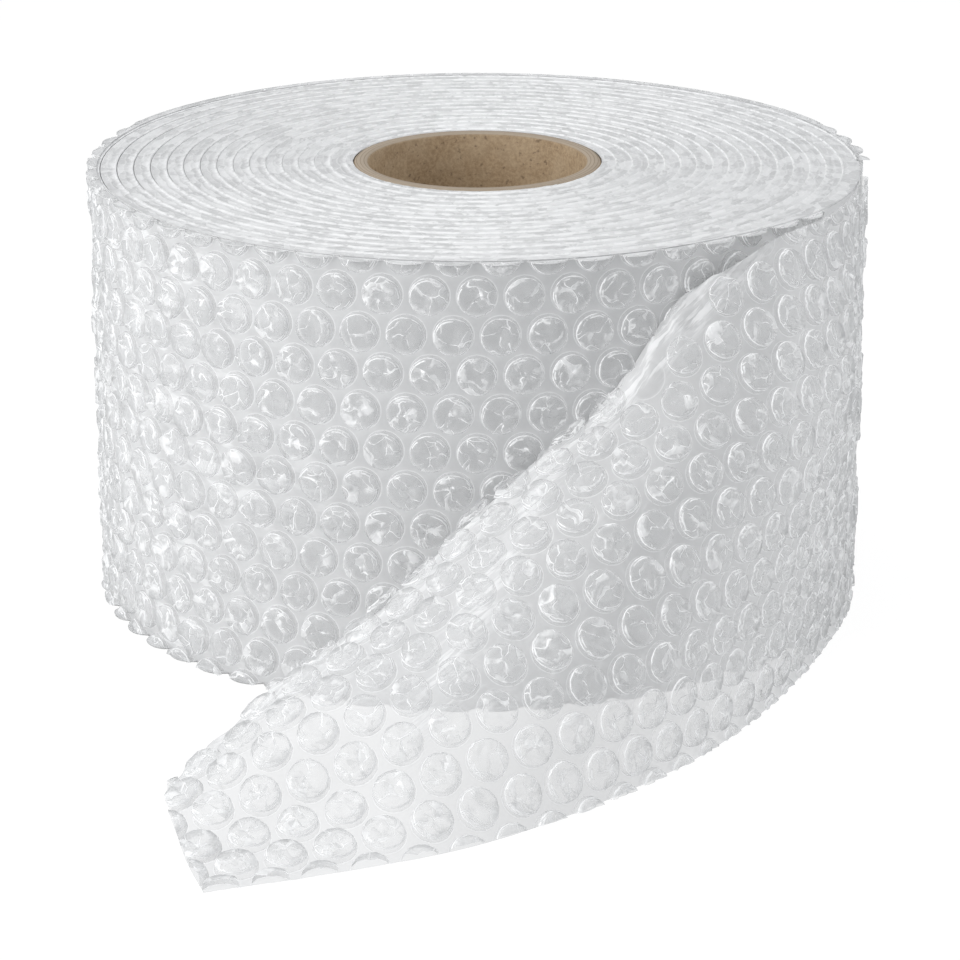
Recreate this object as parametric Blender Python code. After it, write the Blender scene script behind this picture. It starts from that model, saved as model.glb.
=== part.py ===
"""Bubble wrap roll: a cardboard core and the wrap wound on it, its free end pulled off the roll.

Metres, +Z up. The roll stands on one end. Seen from above the web winds clockwise from the
core outwards, bubbles outwards, and its free end leaves the roll at the right, turns round
the front and comes down to the table at the front left.
"""
import math

import bmesh
import bpy
from mathutils import Vector
from mathutils.geometry import delaunay_2d_cdt

MM = 0.001

# Core and web, in mm.
HEIGHT = 152.4          # 6 in wide web, standing on its edge
CORE_BORE_R = 38.1      # 3 in core bore
CORE_WALL = 5.2
CORE_R = CORE_BORE_R + CORE_WALL
CORE_CHAMFER = 0.7
CORE_SEGMENTS = 72
FIT_GAP = 0.35          # between the core and the first turn
TURN_PITCH = 5.6        # one turn of the web, bubbles included
TURNS = 16.348
ROLL_R = CORE_R + FIT_GAP + TURNS * TURN_PITCH   # half way up the bubbles, where the free end leaves
SLACK = 2.0             # outermost turn's extra radius at the left, where it sits loosest
BASE_OFFSET = -1.7      # outer face between the bubbles, from the half-way surface
TIP_OFFSET = 2.35       # bubble tips, from the half-way surface
BACK_OFFSET = -2.7      # flat back of the free end, from the half-way surface
END_GROOVE = 2.2        # depth of the groove between two turns on the end faces

# Bubble pattern, in mm.
BUBBLE_PITCH = 15.1
ROW_PITCH = BUBBLE_PITCH * math.sqrt(3) / 2
FIRST_ROW = 10.2

# Free end, lofted through ten cross-sections at equal steps along the web, from where it
# leaves the roll to the cut. A section runs from the table edge up. Its points are in parts
# of the roll's radius (x, y, from the roll's axis) and of the web's width (z).
TAIL_LENGTH = 2.7137 * ROLL_R
SECTIONS = [
    ((1, 0, 0), (1, 0, 0.333), (1, 0, 0.667), (1, 0, 1)),
    ((0.961, -0.298, 0), (0.967, -0.297, 0.333), (0.966, -0.298, 0.666), (0.966, -0.3, 0.999)),
    ((0.869, -0.583, 0.001), (0.896, -0.591, 0.333), (0.922, -0.598, 0.665), (0.931, -0.601, 0.998)),
    ((0.75, -0.863, 0.004), (0.781, -0.87, 0.333), (0.796, -0.867, 0.664), (0.731, -0.795, 0.98)),
    ((0.61, -1.132, 0.009), (0.617, -1.121, 0.314), (0.584, -1.084, 0.619), (0.472, -0.899, 0.854)),
    ((0.439, -1.382, 0.015), (0.422, -1.354, 0.284), (0.34, -1.243, 0.531), (0.263, -0.976, 0.643)),
    ((0.235, -1.607, 0.019), (0.176, -1.532, 0.246), (0.086, -1.342, 0.404), (0.019, -1.088, 0.485)),
    ((-0.013, -1.779, 0.018), (-0.094, -1.628, 0.165), (-0.17, -1.443, 0.281), (-0.218, -1.21, 0.32)),
    ((-0.302, -1.885, 0.014), (-0.366, -1.705, 0.062), (-0.433, -1.547, 0.163), (-0.473, -1.35, 0.186)),
    ((-0.588, -1.99, 0.019), (-0.641, -1.83, 0.02), (-0.687, -1.662, 0.041), (-0.708, -1.495, 0.036)),
]
COLUMNS = [[Vector((row[k][0] * ROLL_R, row[k][1] * ROLL_R, row[k][2] * HEIGHT)) for row in SECTIONS]
           for k in range(4)]

# The width that shows stays whole to FOLD_START, then narrows evenly, softened at the corner.
FOLD_START = 0.3524 * TAIL_LENGTH
NARROWING = 0.372
FOLD_SOFTNESS = 15.6
CREASE = ((0.597 * TAIL_LENGTH, 0.755 * HEIGHT), (0.777 * TAIL_LENGTH, 0.262 * HEIGHT))  # soft ridge, along and up
CREASE_HEIGHT = 4.0
CREASE_REACH = 22.0
CURL_RADIUS = 9.0       # the free end's far side rolls over and down behind
CURL_WIDTH = 15.0
CURL_START = 0.34 * TAIL_LENGTH
CURL_FULL = 0.52 * TAIL_LENGTH
CURL_FADE = 0.79 * TAIL_LENGTH


def cubic(values, t):
    """Catmull-Rom curve through evenly spaced values, t in steps."""
    last = len(values) - 1
    i = min(max(int(math.floor(t)), 0), last - 1)
    u = t - i
    p1, p2 = values[i], values[i + 1]
    p0 = values[i - 1] if i > 0 else p1 * 2 - p2
    p3 = values[i + 2] if i + 2 <= last else p2 * 2 - p1
    return (p1 * 2 + (p2 - p0) * u + (p0 * 2 - p1 * 5 + p2 * 4 - p3) * u * u
            + (p1 * 3 - p0 - p2 * 3 + p3) * u ** 3) * 0.5


def smooth(a, b, x):
    t = min(max((x - a) / (b - a), 0.0), 1.0)
    return t * t * (3 - 2 * t)


def shown_width(s):
    past = s - FOLD_START
    return HEIGHT - NARROWING / 2 * (past + math.hypot(past, FOLD_SOFTNESS)) * smooth(0, FOLD_START, s)


def curl_width(s):
    return CURL_WIDTH * smooth(CURL_START, CURL_FULL, s) * (1 - 0.75 * smooth(CURL_FADE, TAIL_LENGTH, s))


def sheet(s, w):
    """Free end before its ridge and curl."""
    t = s / TAIL_LENGTH * (len(SECTIONS) - 1)
    return cubic([cubic(column, t) for column in COLUMNS], w / shown_width(s) * 3)


def sheet_normal(s, w):
    along = sheet(min(s + 1, TAIL_LENGTH), w) - sheet(max(s - 1, 0), w)
    top = shown_width(s)
    across = sheet(s, min(w + 1, top)) - sheet(s, max(w - 1, 0))
    return across.cross(along).normalized()


def ridge(s, w):
    (s0, w0), (s1, w1) = CREASE
    length = math.hypot(s1 - s0, w1 - w0)
    along = ((s - s0) * (s1 - s0) + (w - w0) * (w1 - w0)) / length
    off = ((s - s0) * (w1 - w0) - (w - w0) * (s1 - s0)) / length
    fade = (smooth(-1.6 * CREASE_REACH, 0.2 * CREASE_REACH, along)
            * (1 - smooth(length - CREASE_REACH, length + 1.4 * CREASE_REACH, along)) * smooth(0, CREASE_REACH, w))
    return CREASE_HEIGHT * fade * math.exp(-math.hypot(off, CREASE_HEIGHT) / CREASE_REACH)


def slack(angle, r):
    """How far a turn stands off a true spiral, least near the core and where the free end leaves."""
    return SLACK * math.sin(angle / 2) ** 2 * ((r - CORE_R) / (ROLL_R - CORE_R)) ** 2


def web_point(s, w, offset):
    """Point of the outermost web: s along it from where it leaves, w up from the table edge."""
    if s < 0:
        angle = -s / (ROLL_R - TURN_PITCH / 2)
        r = ROLL_R - TURN_PITCH * angle / (2 * math.pi)
        r += slack(angle, r) + offset
        return Vector((r * math.cos(angle), r * math.sin(angle), w))
    top = shown_width(s)
    inner = min(w, top)
    normal = sheet_normal(s, inner)
    point = sheet(s, inner) + normal * ridge(s, inner)
    if w > top:
        turn = (w - top) / CURL_RADIUS
        across = (sheet(s, top) - sheet(s, top - 1)).normalized()
        centre = point - normal * CURL_RADIUS
        point = centre + (normal * math.cos(turn) + across * math.sin(turn)) * CURL_RADIUS
        normal = normal * math.cos(turn) + across * math.sin(turn)
    point = point + normal * offset
    point.z = min(max(point.z, 0.0), HEIGHT)
    return point


def triangulate(points, edges, keep):
    """Delaunay triangles of 2-D points, edges kept, triangles chosen by their middle."""
    verts, _, faces, source, _, _ = delaunay_2d_cdt([Vector(p) for p in points], edges, [], 0, 1e-4)
    index = [src[0] for src in source]
    out = []
    for face in faces:
        mid = sum((verts[v] for v in face), Vector((0, 0))) / len(face)
        if keep(mid.x, mid.y):
            out.append([index[v] for v in face])
    return out


NOTCH_S = -TURN_PITCH / 2 - 2 * math.pi * (ROLL_R - TURN_PITCH / 2) * 0.985
LEAVE_S = 12.0


def top_of_web(s):
    return HEIGHT if s <= 0 else shown_width(s) + curl_width(s)


def levels(count, top):
    return [top * k / count for k in range(count + 1)]


class Shell:
    """Points and triangles of one closed body."""

    def __init__(self):
        self.points = []
        self.faces = []

    def add(self, point):
        self.points.append(Vector(point))
        return len(self.points) - 1

    def fill(self, ids, flat, edges, keep):
        for face in triangulate(flat, edges, keep):
            self.faces.append([ids[v] for v in face])

    def object(self, name, shift, material):
        mesh = bpy.data.meshes.new(name)
        mesh.from_pydata([(p + shift) * MM for p in self.points], [], self.faces)
        bm = bmesh.new()
        bm.from_mesh(mesh)
        bmesh.ops.delete(bm, geom=[v for v in bm.verts if not v.link_faces], context='VERTS')
        bmesh.ops.recalc_face_normals(bm, faces=bm.faces)
        bm.to_mesh(mesh)
        bm.free()
        mesh.materials.append(material)
        ob = bpy.data.objects.new(name, mesh)
        bpy.context.collection.objects.link(ob)
        return ob


def is_bubble(s, w):
    """False where the web's edges, its cut or the notch are too near for a whole bubble."""
    return 5 < w < top_of_web(s) - 6 and NOTCH_S + 24 < s < TAIL_LENGTH - 7


def outer_face(shell):
    """Bubbled outer face: one turn round the roll, then the free end. Returns its borders."""
    ids, flat, edges = [], [], []

    def put(s, w, offset):
        ids.append(shell.add(web_point(s, w, offset)))
        flat.append((s, w))
        return len(ids) - 1

    steps = int((LEAVE_S - NOTCH_S) / 14)
    around = [NOTCH_S + (LEAVE_S - NOTCH_S) * k / steps for k in range(steps + 1)]
    steps = int((TAIL_LENGTH - LEAVE_S) / 12)
    around += [LEAVE_S + (TAIL_LENGTH - LEAVE_S) * k / steps for k in range(1, steps + 1)]
    low = [put(s, 0.0, BASE_OFFSET) for s in around]
    high = [put(s, top_of_web(s), BASE_OFFSET) for s in around]
    start = [low[0]] + [put(NOTCH_S, w, BASE_OFFSET) for w in levels(10, HEIGHT)[1:-1]] + [high[0]]
    end = [low[-1]] + [put(TAIL_LENGTH, w, BASE_OFFSET)
                       for w in levels(5, top_of_web(TAIL_LENGTH))[1:-1]] + [high[-1]]
    for line in (low, high, start, end):
        edges += list(zip(line, line[1:]))
    for k in range(-1, int(HEIGHT / ROW_PITCH) + 2):
        w = FIRST_ROW + ROW_PITCH * k
        s = NOTCH_S - (k % 2) * BUBBLE_PITCH / 2
        while s < TAIL_LENGTH:
            s += BUBBLE_PITCH
            for ds, dw, tip in ((0, 0, True), (BUBBLE_PITCH / 2, ROW_PITCH / 3, False),
                                (BUBBLE_PITCH / 2, -ROW_PITCH / 3, False)):
                a, b = s + ds, w + dw
                if not (NOTCH_S + 5 < a < TAIL_LENGTH - 4 and 3.5 < b < top_of_web(a) - 3.5):
                    continue
                put(a, b, TIP_OFFSET if tip and is_bubble(a, b) else BASE_OFFSET)

    def inside(s, w):
        return w < top_of_web(s)
    shell.fill(ids, flat, edges, inside)
    pick = [ids[v] for v in low], [ids[v] for v in high], [ids[v] for v in start], [ids[v] for v in end]
    return around, pick


def back_face(shell, around, low, high, start, end):
    """Flat back of the free end, from the notch to the cut, and the rim between the two."""
    first = min(range(len(around)), key=lambda k: abs(around[k] - LEAVE_S))
    tail_s = around[first:]
    ids, flat = [], []

    def put(s, w, vertex=None):
        ids.append(shell.add(web_point(s, w, BACK_OFFSET)) if vertex is None else vertex)
        flat.append((s, w))
        return len(ids) - 1

    b_low = [put(tail_s[0], 0, start[0])] + [put(s, 0) for s in tail_s[1:]]
    b_high = [put(tail_s[0], HEIGHT, start[-1])] + [put(s, top_of_web(s)) for s in tail_s[1:]]
    b_start = [b_low[0]] + [put(tail_s[0], w, v) for w, v in zip(levels(10, HEIGHT)[1:-1], start[1:-1])] + [b_high[0]]
    b_end = [b_low[-1]] + [put(TAIL_LENGTH, w) for w in levels(5, top_of_web(TAIL_LENGTH))[1:-1]] + [b_high[-1]]
    edges = []
    for line in (b_low, b_high, b_start, b_end):
        edges += list(zip(line, line[1:]))
    s = tail_s[0] + 12
    while s < TAIL_LENGTH - 8:
        top = top_of_web(s)
        count = max(int(top / 15), 4)
        for k in range(1, count):
            put(s, top * k / count)
        s += 14
    shell.fill(ids, flat, edges, lambda a, b: b < top_of_web(a))

    def rim(front, back):
        for f0, f1, b0, b1 in zip(front, front[1:], back, back[1:]):
            shell.faces.append([f0, f1, ids[b1]])
            shell.faces.append([f0, ids[b1], ids[b0]])
    rim(low[first:], b_low)
    rim(high[first:], b_high)
    rim(end, b_end)
    return first


def spiral(start_angle, radius_at, end_radius, z, shell, ids, flat):
    """Points along one spiral line of an end face, spaced to suit its radius."""
    line, angle = [], start_angle
    while True:
        r = radius_at(angle)
        if r < end_radius:
            return line
        p = (r * math.cos(angle), r * math.sin(angle))
        ids.append(shell.add((p[0], p[1], z)))
        flat.append(p)
        line.append(len(ids) - 1)
        angle += 13.5 / r


def end_face(shell, border, z, dip, bore):
    """Turns of one end: crests and grooves on a spiral, from the outside in."""
    ids, flat = [], []
    for v in border:
        ids.append(v)
        flat.append((shell.points[v].x, shell.points[v].y))
    ring = list(range(len(border)))
    edges = list(zip(ring, ring[1:] + ring[:1]))
    circle = []
    for v in bore:
        ids.append(v)
        flat.append((shell.points[v].x, shell.points[v].y))
        circle.append(len(ids) - 1)
    edges += list(zip(circle, circle[1:] + circle[:1]))
    notch = -NOTCH_S / (ROLL_R - TURN_PITCH / 2)

    def groove(angle):
        r = ROLL_R + BASE_OFFSET - TURN_PITCH * angle / (2 * math.pi)
        return r + slack(angle, r)

    inner = CORE_R + FIT_GAP
    line = [0] + spiral(notch + 0.12, groove, inner + 1.6, z + dip, shell, ids, flat)
    edges += list(zip(line, line[1:]))
    line = spiral(0.06, lambda a: groove(a) - TURN_PITCH / 2, inner + 1.6, z, shell, ids, flat)
    edges += list(zip(line, line[1:]))
    outline = [Vector(flat[v]) for v in ring]

    def inside(x, y):
        if math.hypot(x, y) < inner * 0.9985:
            return False
        hit = False
        for a, b in zip(outline, outline[1:] + outline[:1]):
            if (a.y > y) != (b.y > y) and x < (b.x - a.x) * (y - a.y) / (b.y - a.y) + a.x:
                hit = not hit
        return hit
    shell.fill(ids, flat, edges, inside)


def build_wrap():
    shell = Shell()
    around, (low, high, start, end) = outer_face(shell)
    first = back_face(shell, around, low, high, start, end)
    inner = CORE_R + FIT_GAP
    turns = [2 * math.pi * k / 48 for k in range(48)]
    bore_low = [shell.add((inner * math.cos(a), inner * math.sin(a), 0)) for a in turns]
    bore_high = [shell.add((inner * math.cos(a), inner * math.sin(a), HEIGHT)) for a in turns]
    for k in range(48):
        j = (k + 1) % 48
        shell.faces.append([bore_low[k], bore_low[j], bore_high[j]])
        shell.faces.append([bore_low[k], bore_high[j], bore_high[k]])
    end_face(shell, low[:first + 1], 0.0, END_GROOVE, bore_low)
    end_face(shell, high[:first + 1], HEIGHT, -END_GROOVE, bore_high)
    return shell


def build_core(material, shift):
    """The tube's section with its four small chamfers, turned about the roll's axis."""
    c = CORE_CHAMFER
    outline = [(CORE_BORE_R, c), (CORE_BORE_R + c, 0), (CORE_R - c, 0), (CORE_R, c),
               (CORE_R, HEIGHT - c), (CORE_R - c, HEIGHT), (CORE_BORE_R + c, HEIGHT), (CORE_BORE_R, HEIGHT - c)]
    bm = bmesh.new()
    section = [bm.verts.new((r * MM, 0, z * MM)) for r, z in outline]
    for here, there in zip(section, section[1:] + section[:1]):
        bm.edges.new((here, there))
    bmesh.ops.spin(bm, geom=bm.verts[:] + bm.edges[:], cent=(0, 0, 0), axis=(0, 0, 1), dvec=(0, 0, 0),
                   angle=2 * math.pi, steps=CORE_SEGMENTS, use_merge=True)
    bmesh.ops.recalc_face_normals(bm, faces=bm.faces)
    bmesh.ops.translate(bm, verts=bm.verts, vec=shift * MM)
    mesh = bpy.data.meshes.new("cardboard_core")
    bm.to_mesh(mesh)
    bm.free()
    mesh.materials.append(material)
    bpy.context.collection.objects.link(bpy.data.objects.new("cardboard_core", mesh))


def paint(name, colour, roughness):
    material = bpy.data.materials.new(name)
    material.use_nodes = True
    shader = material.node_tree.nodes["Principled BSDF"]
    shader.inputs["Base Color"].default_value = (*colour, 1)
    shader.inputs["Roughness"].default_value = roughness
    shader.inputs["Metallic"].default_value = 0.0
    return material


for leftover in list(bpy.data.objects):
    bpy.data.objects.remove(leftover)

film = paint("polyethylene film", (0.78, 0.79, 0.80), 0.3)
board = paint("kraft cardboard", (0.42, 0.29, 0.17), 0.85)
wrap = build_wrap()
xs = [p.x for p in wrap.points]
ys = [p.y for p in wrap.points]
middle = Vector((-(min(xs) + max(xs)) / 2, -(min(ys) + max(ys)) / 2, 0))
wrap.object("bubble_wrap", middle, film)
build_core(board, middle)
print("roll axis at", [round(v, 3) for v in middle], "mm")
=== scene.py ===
# %% [markdown]
# # A roll of bubble wrap
#
# A cardboard tube with about sixteen turns of bubble wrap on it stands on a white table. The
# free end of the wrap has been pulled off at the right. It swings round the front, folds over
# on itself and comes to rest at the front left. This script dresses the CAD model: it keeps
# its sizes and its place, and adds the film, the bubbles and the board.

# %% Load the CAD model
import math
import random

import bmesh
import bpy
import numpy as np
from mathutils import Matrix, Vector
from mathutils import noise as mnoise


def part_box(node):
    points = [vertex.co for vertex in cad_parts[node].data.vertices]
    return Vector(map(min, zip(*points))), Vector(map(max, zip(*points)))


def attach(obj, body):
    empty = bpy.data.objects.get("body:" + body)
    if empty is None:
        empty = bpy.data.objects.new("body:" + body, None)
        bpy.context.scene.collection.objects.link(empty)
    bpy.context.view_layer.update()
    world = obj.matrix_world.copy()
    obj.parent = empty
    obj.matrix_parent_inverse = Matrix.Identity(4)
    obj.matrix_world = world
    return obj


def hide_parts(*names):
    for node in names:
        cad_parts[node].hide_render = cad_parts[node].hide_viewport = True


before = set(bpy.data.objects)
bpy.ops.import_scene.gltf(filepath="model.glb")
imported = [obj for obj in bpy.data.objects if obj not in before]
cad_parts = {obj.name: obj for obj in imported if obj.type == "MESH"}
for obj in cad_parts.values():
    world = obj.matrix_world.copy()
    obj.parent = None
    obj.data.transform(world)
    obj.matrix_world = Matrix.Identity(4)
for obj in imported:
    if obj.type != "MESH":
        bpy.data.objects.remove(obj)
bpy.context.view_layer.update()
low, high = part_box("cardboard_core")
AXIS = Vector(((low[0] + high[0]) / 2, (low[1] + high[1]) / 2, 0.0))
print("roll axis at", [round(v, 4) for v in AXIS])

# %% [markdown]
# ## Camera, light and table
#
# The photograph looks down at the roll by about nineteen degrees through a long lens. The
# camera below was placed by matching the outline of the roll and of its core. The light is a
# white tent: a pale world, one wide soft box at the left, one overhead and a narrow strip at
# the right. The table glows a little towards the camera, so that it comes out pure white.

# %% Camera
scene = bpy.context.scene
scene.view_settings.view_transform = "Standard"
TILT = math.radians(19.427)
camera = bpy.data.objects.new("camera", bpy.data.cameras.new("camera"))
camera.data.lens = 129.86
camera.data.sensor_width = 36.0
camera.data.clip_end = 20
camera.location = AXIS + Vector((0.0009, -1.1788, 0.4493))
camera.rotation_euler = (math.pi / 2 - TILT, 0, 0)
scene.collection.objects.link(camera)
scene.camera = camera

# %% World and lamps
world = bpy.data.worlds.new("white tent")
world.use_nodes = True
scene.world = world
nodes, links = world.node_tree.nodes, world.node_tree.links
sky = nodes["Background"]
path = nodes.new("ShaderNodeLightPath")
seen = nodes.new("ShaderNodeMixRGB")
seen.inputs[1].default_value = (0.52, 0.53, 0.54, 1)
seen.inputs[2].default_value = (1, 1, 1, 1)
links.new(path.outputs["Is Camera Ray"], seen.inputs[0])
links.new(seen.outputs[0], sky.inputs["Color"])


def soft_box(name, place, target, size, power):
    """A rectangular area lamp aimed at a point of the roll, in metres from its axis."""
    lamp = bpy.data.objects.new(name, bpy.data.lights.new(name, "AREA"))
    lamp.data.shape = "RECTANGLE"
    lamp.data.size, lamp.data.size_y = size
    lamp.data.energy = power
    lamp.location = AXIS + Vector(place)
    lamp.rotation_euler = (Vector(target) - Vector(place)).to_track_quat("-Z", "Y").to_euler()
    scene.collection.objects.link(lamp)


soft_box("left soft box", (-0.9, -0.55, 0.55), (0, 0, 0.08), (0.5, 0.8), 5.2)
soft_box("overhead soft box", (-0.1, 0.1, 1.5), (0, 0, 0.1), (1.6, 1.4), 8.0)
soft_box("right strip", (1.0, 0.1, 0.4), (0, 0, 0.1), (0.15, 0.8), 1.5)

# %% Table
bm = bmesh.new()
bmesh.ops.create_grid(bm, x_segments=1, y_segments=1, size=6.0)
mesh = bpy.data.meshes.new("table")
bm.to_mesh(mesh)
bm.free()
table = bpy.data.objects.new("table", mesh)
scene.collection.objects.link(table)
paint = bpy.data.materials.new("white table")
paint.use_nodes = True
nodes, links = paint.node_tree.nodes, paint.node_tree.links
shader = nodes["Principled BSDF"]
shader.inputs["Base Color"].default_value = (0.93, 0.93, 0.93, 1)
shader.inputs["Roughness"].default_value = 0.9
glow = nodes.new("ShaderNodeEmission")
glow.inputs["Strength"].default_value = 1.06
share = nodes.new("ShaderNodeMath")
share.operation = "MULTIPLY"
share.inputs[1].default_value = 0.85
path = nodes.new("ShaderNodeLightPath")
mix = nodes.new("ShaderNodeMixShader")
links.new(path.outputs["Is Camera Ray"], share.inputs[0])
links.new(share.outputs[0], mix.inputs[0])
links.new(shader.outputs[0], mix.inputs[1])
links.new(glow.outputs[0], mix.inputs[2])
links.new(mix.outputs[0], nodes["Material Output"].inputs["Surface"])
table.data.materials.append(paint)

# %% [markdown]
# ## The path of the web
#
# Bubble wrap is made flat, so it is modelled flat and wound afterwards. A point of the web has
# a distance along it, s, a height across it, w, and a distance off its half-way surface, h,
# all in millimetres. s is zero where the free end leaves the roll, negative on the roll and
# positive on the free end. `wind` turns such points into points of the room.

# %% Sizes of the web
HEIGHT = 152.4
CORE_R = 43.3
BORE_R = 38.1
ROLL_R = 135.2
PITCH = 5.6
SLACK = 2.0

# The bubbles' spacing and place on the web, and the heights of their tops and of the flat back.
BUBBLE = 15.1
ROW = BUBBLE * math.sqrt(3) / 2
FIRST_ROW = 10.2
FIRST_BUBBLE = 7.0
BUBBLE_R = 6.6
TIP = 2.2
BACK = -1.7

# The free end: its length, where its top starts to fold over, how fast and how softly the fold
# comes down, how wide the part is that curls over, and round what radius.
TAIL = 366.9
FOLD_START = 0.3524 * TAIL
FOLD_SLOPE = 0.186
FOLD_SOFTNESS = 15.6
CURL_WIDTH = 15
CURL_R = 9.0

# Ten cross-sections of the free end, in parts of the roll's radius and of the web's width.
SECTIONS = np.array([
    ((1, 0, 0), (1, 0, 0.333), (1, 0, 0.667), (1, 0, 1)),
    ((0.961, -0.298, 0), (0.967, -0.297, 0.333), (0.966, -0.298, 0.666), (0.962, -0.296, 0.999)),
    ((0.869, -0.583, 0.001), (0.896, -0.591, 0.333), (0.922, -0.598, 0.665), (0.862, -0.552, 0.998)),
    ((0.75, -0.863, 0.004), (0.781, -0.87, 0.333), (0.79, -0.862, 0.668), (0.682, -0.768, 0.982)),
    ((0.61, -1.132, 0.009), (0.617, -1.121, 0.314), (0.584, -1.084, 0.619), (0.472, -0.899, 0.854)),
    ((0.439, -1.382, 0.015), (0.422, -1.354, 0.284), (0.34, -1.243, 0.531), (0.263, -0.976, 0.643)),
    ((0.235, -1.607, 0.019), (0.176, -1.532, 0.246), (0.086, -1.342, 0.404), (0.019, -1.088, 0.485)),
    ((-0.013, -1.779, 0.018), (-0.094, -1.628, 0.165), (-0.17, -1.443, 0.281), (-0.218, -1.21, 0.32)),
    ((-0.302, -1.885, 0.014), (-0.366, -1.705, 0.062), (-0.433, -1.547, 0.163), (-0.473, -1.35, 0.186)),
    ((-0.588, -1.99, 0.019), (-0.641, -1.83, 0.02), (-0.687, -1.662, 0.041), (-0.708, -1.495, 0.036)),
]) * (ROLL_R, ROLL_R, HEIGHT)


# %% Smooth curves through the sections
def curve_weights(t, count):
    """First neighbour and the four Catmull-Rom weights at each t."""
    i = np.clip(np.floor(t).astype(int), 0, count - 2)
    u = t - i
    weights = np.stack([-u + 2 * u**2 - u**3, 2 - 5 * u**2 + 3 * u**3,
                        u + 4 * u**2 - 3 * u**3, -u**2 + u**3], 1) / 2
    return i, weights


def pad(values, axis):
    """Adds one straight step before the first value and after the last."""
    first = 2 * values.take([0], axis) - values.take([1], axis)
    last = 2 * values.take([-1], axis) - values.take([-2], axis)
    return np.concatenate([first, values, last], axis)


PADDED = pad(pad(SECTIONS, 0), 1)


def smooth(a, b, x):
    """Nothing below a, one above b and a soft step between."""
    t = np.clip((x - a) / (b - a), 0, 1)
    return t * t * (3 - 2 * t)


def shown_width(s):
    """Width of the free end up to the line where it folds over behind."""
    past = s - FOLD_START
    fallen = FOLD_SLOPE * (past + np.hypot(past, FOLD_SOFTNESS))
    return HEIGHT - fallen * smooth(0, FOLD_START, s)


def curl_width(s):
    """Width of the part that curls over behind, before it is cut off."""
    return CURL_WIDTH * smooth(0.34 * TAIL, 0.52 * TAIL, s) * (1 - 0.75 * smooth(0.79 * TAIL, TAIL, s))


def top_of_web(s):
    """Width of the web, with the part that curls over."""
    s = np.asarray(s, float)
    return np.where(s <= 0, HEIGHT, shown_width(s) + curl_width(s))


def sheet(s, w):
    """Smooth surface through the cross-sections of the free end."""
    lengthwise, crosswise = SECTIONS.shape[:2]
    i, a = curve_weights(s / TAIL * (lengthwise - 1), lengthwise)
    j, b = curve_weights(w / shown_width(s) * (crosswise - 1), crosswise)
    total = 0
    for k in range(4):
        for m in range(4):
            total = total + PADDED[i + k, j + m] * (a[:, k] * b[:, m])[:, None]
    return total


# %% [markdown]
# The free end has a soft ridge where it turns from standing to lying. Its far side folds over
# and down behind, and the fold is crushed into small creases.

# %% Wind the web
RIDGE_FROM, RIDGE_TO = (0.597 * TAIL, 0.755 * HEIGHT), (0.777 * TAIL, 0.262 * HEIGHT)
RIDGE_HEIGHT = 4.0
RIDGE_ROUND = 4.0
RIDGE_SPREAD = 22.0


def ridge_place(s, w):
    """Distance off the ridge line, and how strong the ridge is there."""
    (s0, w0), (s1, w1) = RIDGE_FROM, RIDGE_TO
    length = math.hypot(s1 - s0, w1 - w0)
    along = ((s - s0) * (s1 - s0) + (w - w0) * (w1 - w0)) / length
    off = ((s - s0) * (w1 - w0) - (w - w0) * (s1 - s0)) / length
    fade = smooth(-35, 4.4, along) * (1 - smooth(length - 22, length + 31, along))
    return off, fade * smooth(0, 22, w)


def ridge(s, w):
    """Height of the ridge."""
    off, fade = ridge_place(s, w)
    return RIDGE_HEIGHT * fade * np.exp(-np.hypot(off, RIDGE_ROUND) / RIDGE_SPREAD)


def crushed(s, w):
    """One on the crushed fold at the top of the free end, nothing away from it."""
    return np.exp(-((shown_width(s) + 1 - w) / 7.0) ** 2) * smooth(105, 150, s)


def unit(v):
    return v / np.linalg.norm(v, axis=1)[:, None]


def tail_points(s, w, h):
    """Points of the free end: on the sheet, or round the curl above its fold."""
    top = shown_width(s)
    inner = np.minimum(w, top)
    along = sheet(np.minimum(s + 1, TAIL), inner) - sheet(np.maximum(s - 1, 0), inner)
    across = sheet(s, np.minimum(inner + 1, top)) - sheet(s, np.maximum(inner - 1, 0))
    normal = unit(np.cross(across, along))
    point = sheet(s, inner) + normal * ridge(s, inner)[:, None]
    turn = (np.maximum(w - top, 0) / CURL_R)[:, None]
    over = unit(sheet(s, top) - sheet(s, top - 1))
    turned = np.where(turn > 0, normal * np.cos(turn) + over * np.sin(turn), normal)
    point = np.where(turn > 0, point - normal * CURL_R + turned * CURL_R, point)
    point = point + turned * h[:, None]
    point[:, 2] = np.clip(point[:, 2], 0.05, HEIGHT)
    return point


def wind(flat):
    """Points (s, w, h) of the flat web to points of the room, in metres."""
    s, w, h = flat[:, 0], flat[:, 1], flat[:, 2]
    back = np.minimum(s, 0)
    angle = (ROLL_R - np.sqrt(ROLL_R**2 + PITCH * back / math.pi)) * 2 * math.pi / PITCH
    r = ROLL_R - PITCH * angle / (2 * math.pi)
    r = r + h + SLACK * np.sin(angle / 2) ** 2 * ((r - CORE_R) / (ROLL_R - CORE_R)) ** 2
    out = np.stack([r * np.cos(angle), r * np.sin(angle), np.clip(w, 0.05, HEIGHT)], 1)
    free = s > 0
    if free.any():
        out[free] = tail_points(s[free], w[free], h[free])
    return out * 0.001 + np.array([AXIS.x, AXIS.y, 0.0])


def slump(s, w):
    """How far the bubbles at some places have been pressed out of shape, from nothing to one."""
    s, w = np.asarray(s, float), np.asarray(w, float)
    x = np.abs(wind(np.stack([s, w, 0 * s], 1))[:, 0] - AXIS.x) * 1000
    patch = np.array([mnoise.noise(Vector((a * 0.011, b * 0.022, 40.0))) for a, b in zip(s, w)])
    on_roll = smooth(40, 110, x + 25 * patch)
    free = smooth(70, 118, x + 25 * patch) * (1 - smooth(60, 120, s))
    return np.where(s <= 0, on_roll, free)


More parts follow.
